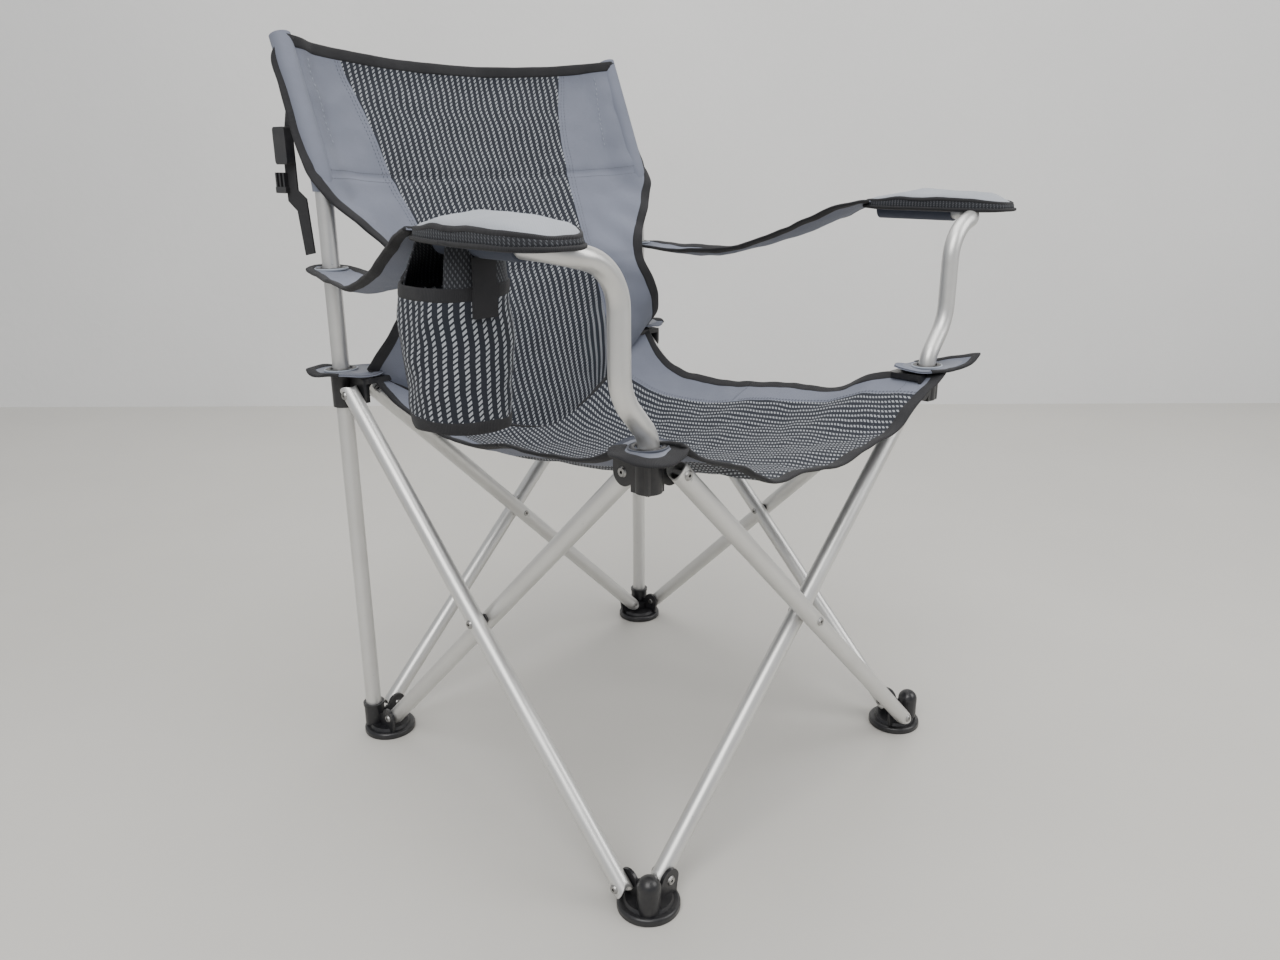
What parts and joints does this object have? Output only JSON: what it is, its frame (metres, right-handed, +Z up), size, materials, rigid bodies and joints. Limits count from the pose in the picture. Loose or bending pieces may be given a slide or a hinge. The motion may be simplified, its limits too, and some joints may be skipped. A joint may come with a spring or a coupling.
{
  "type": "folding camp chair",
  "caption": "Padded folding camp armchair with a four-sided scissor frame, sling seat and back, two padded arms and a cup holder; it folds into an upright bundle.",
  "frame": {"origin": "on the floor, under the middle of the whole chair", "axes": "+Z up, -Y the way the sitter faces, -X the sitter's right"},
  "size_m": [0.8806, 0.701, 0.9607],
  "materials": {
    "frame_tube": "satin",
    "rivet_metal": "satin",
    "hard_plastic": "satin",
    "panel_cloth": "matte",
    "striped_mesh": "matte",
    "pad_cloth": "matte",
    "corner_vinyl": "satin",
    "webbing": "matte"
  },
  "bodies": {
    "base": {"rear_right_foot": "hard_plastic", "rear_right_foot_rivets": "rivet_metal", "rear_right_upright": "frame_tube", "right_upright_plug": "hard_plastic", "right_back_pocket": "panel_cloth", "back_panel": "striped_mesh", "carry_strap": "webbing", "carry_buckle_socket": "hard_plastic", "carry_buckle_prong": "hard_plastic"},
    "right_inner": {"right_inner_tube": "frame_tube", "right_crossing_rivet": "rivet_metal", "right_crossing_washer": "hard_plastic"},
    "right_outer": {"right_outer_tube": "frame_tube"},
    "foot_front_right": {"front_right_foot": "hard_plastic", "front_right_foot_rivets": "rivet_metal"},
    "hub_rear_right": {"rear_right_hub": "hard_plastic", "rear_right_hub_rivets": "rivet_metal", "rear_right_seat_corner": "corner_vinyl", "right_arm_strap": "panel_cloth", "right_arm_eyelet": "hard_plastic"},
    "hub_front_right": {"front_right_hub": "hard_plastic", "front_right_hub_rivets": "rivet_metal", "front_right_seat_corner": "corner_vinyl", "right_arm_post": "frame_tube", "right_arm_tunnel": "panel_cloth", "right_arm_pad": "pad_cloth", "cup_holder": "striped_mesh", "cup_holder_tabs": "webbing"},
    "rear_outer": {"rear_outer_tube": "frame_tube"},
    "rear_inner": {"rear_inner_tube": "frame_tube", "rear_crossing_rivet": "rivet_metal", "rear_crossing_washer": "hard_plastic"},
    "foot_rear_left": {"rear_left_foot": "hard_plastic", "rear_left_foot_rivets": "rivet_metal", "rear_left_upright": "frame_tube", "left_upright_plug": "hard_plastic", "left_back_pocket": "panel_cloth"},
    "hub_rear_left": {"rear_left_hub": "hard_plastic", "rear_left_hub_rivets": "rivet_metal", "rear_left_seat_corner": "corner_vinyl", "left_arm_strap": "panel_cloth", "left_arm_eyelet": "hard_plastic"},
    "front_inner": {"front_inner_tube": "frame_tube", "front_crossing_rivet": "rivet_metal", "front_crossing_washer": "hard_plastic"},
    "front_outer": {"front_outer_tube": "frame_tube"},
    "foot_front_left": {"front_left_foot": "hard_plastic", "front_left_foot_rivets": "rivet_metal"},
    "hub_front_left": {"front_left_hub": "hard_plastic", "front_left_hub_rivets": "rivet_metal", "front_left_seat_corner": "corner_vinyl", "left_arm_post": "frame_tube", "left_arm_tunnel": "panel_cloth", "left_arm_pad": "pad_cloth"},
    "left_outer": {"left_outer_tube": "frame_tube"},
    "left_inner": {"left_inner_tube": "frame_tube", "left_crossing_rivet": "rivet_metal", "left_crossing_washer": "hard_plastic"},
    "seat_back_half": {"seat_rear": "striped_mesh"},
    "seat_front_half": {"seat_front": "striped_mesh"}
  },
  "joints": [
    {"name": "fold", "type": "hinge", "parent": "base", "child": "right_inner", "pos_m": [-0.267, 0.2045, 0.029], "axis": [-1, 0, 0], "range_deg": [0, 42], "deforming": ["back_panel", "seat_rear", "seat_front", "right_arm_strap", "left_arm_strap", "right_arm_eyelet", "left_arm_eyelet"]},
    {"name": "right_crossing", "type": "hinge", "parent": "right_inner", "child": "right_outer", "pos_m": [-0.267, -0.0415, 0.2725], "axis": [1, 0, 0], "range_deg": [0, 84]},
    {"name": "front_right_foot_pivot", "type": "hinge", "parent": "right_outer", "child": "foot_front_right", "pos_m": [-0.2906, -0.2875, 0.029], "axis": [-1, 0, 0], "range_deg": [0, 42]},
    {"name": "rear_right_hub_pivot", "type": "hinge", "parent": "right_outer", "child": "hub_rear_right", "pos_m": [-0.2906, 0.2045, 0.516], "axis": [-1, 0, 0], "range_deg": [0, 42]},
    {"name": "front_right_hub_pivot", "type": "hinge", "parent": "right_inner", "child": "hub_front_right", "pos_m": [-0.267, -0.2875, 0.516], "axis": [1, 0, 0], "range_deg": [0, 42]},
    {"name": "rear_right_foot_pivot", "type": "hinge", "parent": "base", "child": "rear_outer", "pos_m": [-0.246, 0.2491, 0.029], "axis": [0, -1, 0], "range_deg": [0, 42]},
    {"name": "rear_crossing", "type": "hinge", "parent": "rear_outer", "child": "rear_inner", "pos_m": [0, 0.2255, 0.2725], "axis": [0, 1, 0], "range_deg": [0, 84]},
    {"name": "rear_left_foot_pivot", "type": "hinge", "parent": "rear_inner", "child": "foot_rear_left", "pos_m": [0.246, 0.2255, 0.029], "axis": [0, -1, 0], "range_deg": [0, 42]},
    {"name": "rear_left_hub_pivot", "type": "hinge", "parent": "rear_outer", "child": "hub_rear_left", "pos_m": [0.246, 0.2491, 0.516], "axis": [0, 1, 0], "range_deg": [0, 42]},
    {"name": "front_right_foot_second", "type": "hinge", "parent": "foot_front_right", "child": "front_inner", "pos_m": [-0.246, -0.3085, 0.029], "axis": [0, -1, 0], "range_deg": [0, 42]},
    {"name": "front_crossing", "type": "hinge", "parent": "front_inner", "child": "front_outer", "pos_m": [0, -0.3085, 0.2725], "axis": [0, 1, 0], "range_deg": [0, 84]},
    {"name": "front_left_foot_pivot", "type": "hinge", "parent": "front_outer", "child": "foot_front_left", "pos_m": [0.246, -0.3321, 0.029], "axis": [0, -1, 0], "range_deg": [0, 42]},
    {"name": "front_left_hub_pivot", "type": "hinge", "parent": "front_inner", "child": "hub_front_left", "pos_m": [0.246, -0.3085, 0.516], "axis": [0, 1, 0], "range_deg": [0, 42]},
    {"name": "rear_left_foot_second", "type": "hinge", "parent": "foot_rear_left", "child": "left_outer", "pos_m": [0.2906, 0.2045, 0.029], "axis": [-1, 0, 0], "range_deg": [0, 42]},
    {"name": "left_crossing", "type": "hinge", "parent": "left_outer", "child": "left_inner", "pos_m": [0.267, -0.0415, 0.2725], "axis": [1, 0, 0], "range_deg": [0, 84]},
    {"name": "seat_back_swing", "type": "hinge", "parent": "hub_rear_right", "child": "seat_back_half", "pos_m": [0, 0.2085, 0.53], "axis": [1, 0, 0], "range_deg": [0, 68.1]},
    {"name": "seat_front_swing", "type": "hinge", "parent": "seat_back_half", "child": "seat_front_half", "pos_m": [0, -0.0415, 0.455], "axis": [-1, 0, 0], "range_deg": [0, 136.2]}
  ],
  "couplings": [
    {"joint": "right_crossing", "follows": "fold", "ratio": 2},
    {"joint": "front_right_foot_pivot", "follows": "fold", "ratio": 1},
    {"joint": "rear_right_hub_pivot", "follows": "fold", "ratio": 1},
    {"joint": "front_right_hub_pivot", "follows": "fold", "ratio": 1},
    {"joint": "rear_right_foot_pivot", "follows": "fold", "ratio": 1},
    {"joint": "rear_crossing", "follows": "fold", "ratio": 2},
    {"joint": "rear_left_foot_pivot", "follows": "fold", "ratio": 1},
    {"joint": "rear_left_hub_pivot", "follows": "fold", "ratio": 1},
    {"joint": "front_right_foot_second", "follows": "fold", "ratio": 1},
    {"joint": "front_crossing", "follows": "fold", "ratio": 2},
    {"joint": "front_left_foot_pivot", "follows": "fold", "ratio": 1},
    {"joint": "front_left_hub_pivot", "follows": "fold", "ratio": 1},
    {"joint": "rear_left_foot_second", "follows": "fold", "ratio": 1},
    {"joint": "left_crossing", "follows": "fold", "ratio": 2},
    {"joint": "seat_back_swing", "follows": "fold", "ratio": 1.6214},
    {"joint": "seat_front_swing", "follows": "fold", "ratio": 3.2429}
  ]
}
